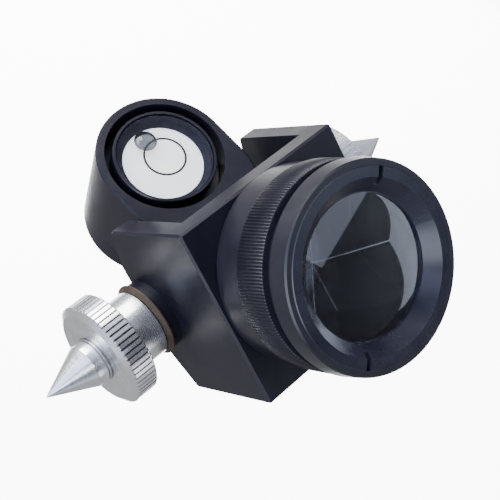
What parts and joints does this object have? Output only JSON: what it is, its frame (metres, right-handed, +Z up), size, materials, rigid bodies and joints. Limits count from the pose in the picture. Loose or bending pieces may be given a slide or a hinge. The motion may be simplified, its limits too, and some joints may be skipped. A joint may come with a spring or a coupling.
{
  "type": "survey mini prism",
  "caption": "Corner-cube prism in a black canister on a tilting yoke, with a round bubble vial holder and pointed clamp knobs.",
  "frame": {"origin": "centre of the pole thread's mouth in the flat bottom of the vial holder", "axes": "+Z up the pole thread and bubble vial axis, X along the tilt axis with its two points, the prism looks towards -Y when level (here tilted up 53.9 degrees)"},
  "size_m": [0.091, 0.0746, 0.0595],
  "materials": {
    "black_anodised": "black anodised, satin",
    "black_vial_metal": "black, satin",
    "brass": "turned",
    "dark_steel": "blackened",
    "bright_steel": "turned and fine brushed",
    "black_rubber": "matt",
    "white_dial": "matt white",
    "clear_acrylic": "clear",
    "black_ink": "printed line",
    "air_bubble": "clear",
    "nylon": "natural",
    "tan_fibre": "fibre washer",
    "prism_glass": "polished",
    "silver_coat": "silvered"
  },
  "bodies": {
    "holder": {"vial_holder": "black_anodised", "thread_insert": "brass", "insert_grub": "dark_steel", "vial_cup": "black_vial_metal", "vial_spring": "black_rubber", "vial_screws": "dark_steel", "vial_dial": "white_dial", "vial_lens": "clear_acrylic", "vial_index": "black_ink", "pivot_bush_left": "brass", "pivot_bush_right": "brass", "inner_washer_left": "nylon", "inner_washer_right": "nylon"},
    "bubble": {"bubble": "air_bubble"},
    "yoke": {"yoke": "black_anodised"},
    "canister": {"prism_barrel": "black_anodised", "grip_band": "black_anodised", "front_bezel": "black_anodised", "front_gasket": "black_rubber", "lock_ring": "black_anodised", "prism_glass": "prism_glass", "prism_coating": "silver_coat", "rear_cushion": "black_rubber", "rear_cap": "black_anodised"},
    "left_washer": {"washer_left": "tan_fibre"},
    "left_knob": {"knob_left": "bright_steel", "point_left": "bright_steel", "stud_left": "bright_steel"},
    "right_washer": {"washer_right": "tan_fibre"},
    "right_knob": {"knob_right": "bright_steel", "point_right": "bright_steel", "stud_right": "bright_steel"}
  },
  "joints": [
    {"name": "yoke_tilt", "type": "hinge", "parent": "holder", "child": "yoke", "pos_m": [0, -0.0202, 0.0126], "axis": [-1, 0, 0], "range_deg": [-103, 41]},
    {"name": "canister_turn", "type": "hinge", "parent": "yoke", "child": "canister", "pos_m": [0, -0.0344, 0.03207], "axis": [0, -0.5892, 0.808], "range_deg": [-180, 180]},
    {"name": "bubble_float", "type": "slide", "parent": "holder", "child": "bubble", "axis": [0, -1, 0], "range_m": [-0.0011, 0.0117]},
    {"name": "left_washer_slide", "type": "slide", "parent": "holder", "child": "left_washer", "axis": [-1, 0, 0], "range_m": [0, 0.00105]},
    {"name": "left_knob_turn", "type": "hinge", "parent": "left_washer", "child": "left_knob", "pos_m": [0, -0.0202, 0.0126], "axis": [-1, 0, 0], "range_deg": [0, 540]},
    {"name": "right_washer_slide", "type": "slide", "parent": "holder", "child": "right_washer", "axis": [1, 0, 0], "range_m": [0, 0.00105]},
    {"name": "right_knob_turn", "type": "hinge", "parent": "right_washer", "child": "right_knob", "pos_m": [0, -0.0202, 0.0126], "axis": [1, 0, 0], "range_deg": [0, 540]}
  ],
  "couplings": [
    {"joint": "left_washer_slide", "follows": "left_knob_turn", "m_per_rad": 0.00011141},
    {"joint": "right_washer_slide", "follows": "right_knob_turn", "m_per_rad": 0.00011141}
  ]
}
